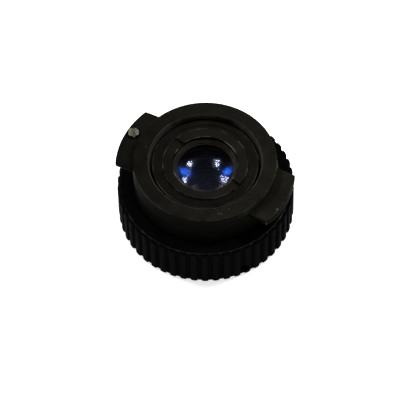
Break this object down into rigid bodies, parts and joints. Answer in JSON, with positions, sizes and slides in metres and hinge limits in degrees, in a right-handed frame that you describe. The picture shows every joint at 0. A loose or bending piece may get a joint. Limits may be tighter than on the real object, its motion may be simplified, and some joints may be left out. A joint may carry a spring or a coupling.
{
  "type": "surveying telescope eyepiece",
  "caption": "Bayonet-mount eyepiece of a surveying telescope, with a ribbed focusing ring that moves a keyed lens barrel through a helicoid.",
  "frame": {"origin": "on the optical axis, in the plane of the focusing ring's lower lip, on which the eyepiece stands", "axes": "+Z along the optical axis from the eye side to the telescope side; the wider wing, with the stop screw, lies 153.5 degrees from +X towards +Y, and the narrower wing 29 degrees from +X towards -Y"},
  "size_m": [0.0362, 0.036, 0.0174],
  "materials": {
    "black_anodised": "black anodised, satin, fine turning marks",
    "black_matt": "matt black anodised",
    "grip": "dull black, moulded ribs",
    "steel": "bare turned steel",
    "brass": "turned brass",
    "felt": "dense black felt",
    "coated_glass": "polished, blue anti-reflection coating",
    "glass": "polished optical glass"
  },
  "bodies": {
    "bayonet": {"bayonet_body": "black_anodised", "stop_screw": "steel", "key_screw": "steel", "keeper_ring": "black_matt", "friction_washer": "steel"},
    "focusing_ring": {"focus_ring": "black_anodised", "grip_sleeve": "grip", "helicoid_nut": "brass", "felt_seal": "felt", "travel_stop_pin": "steel", "grub_screw_1": "steel", "grub_screw_2": "steel", "grub_screw_3": "steel"},
    "lens_group": {"lens_barrel": "black_anodised", "field_retaining_ring": "black_anodised", "field_clamp_ring": "black_matt", "field_flint": "coated_glass", "field_crown": "glass", "lens_spacer": "black_matt", "eye_crown": "glass", "eye_flint": "coated_glass", "eye_bezel": "black_anodised"}
  },
  "joints": [
    {"name": "focus_turn", "type": "hinge", "parent": "bayonet", "child": "focusing_ring", "pos_m": [0, 0, 0], "axis": [0, 0, 1], "range_deg": [-150, 150]},
    {"name": "barrel_slide", "type": "slide", "parent": "bayonet", "child": "lens_group", "axis": [0, 0, 1], "range_m": [-0.00063, 0.00063]}
  ],
  "couplings": [
    {"joint": "barrel_slide", "follows": "focus_turn", "m_per_rad": -0.00023873}
  ]
}
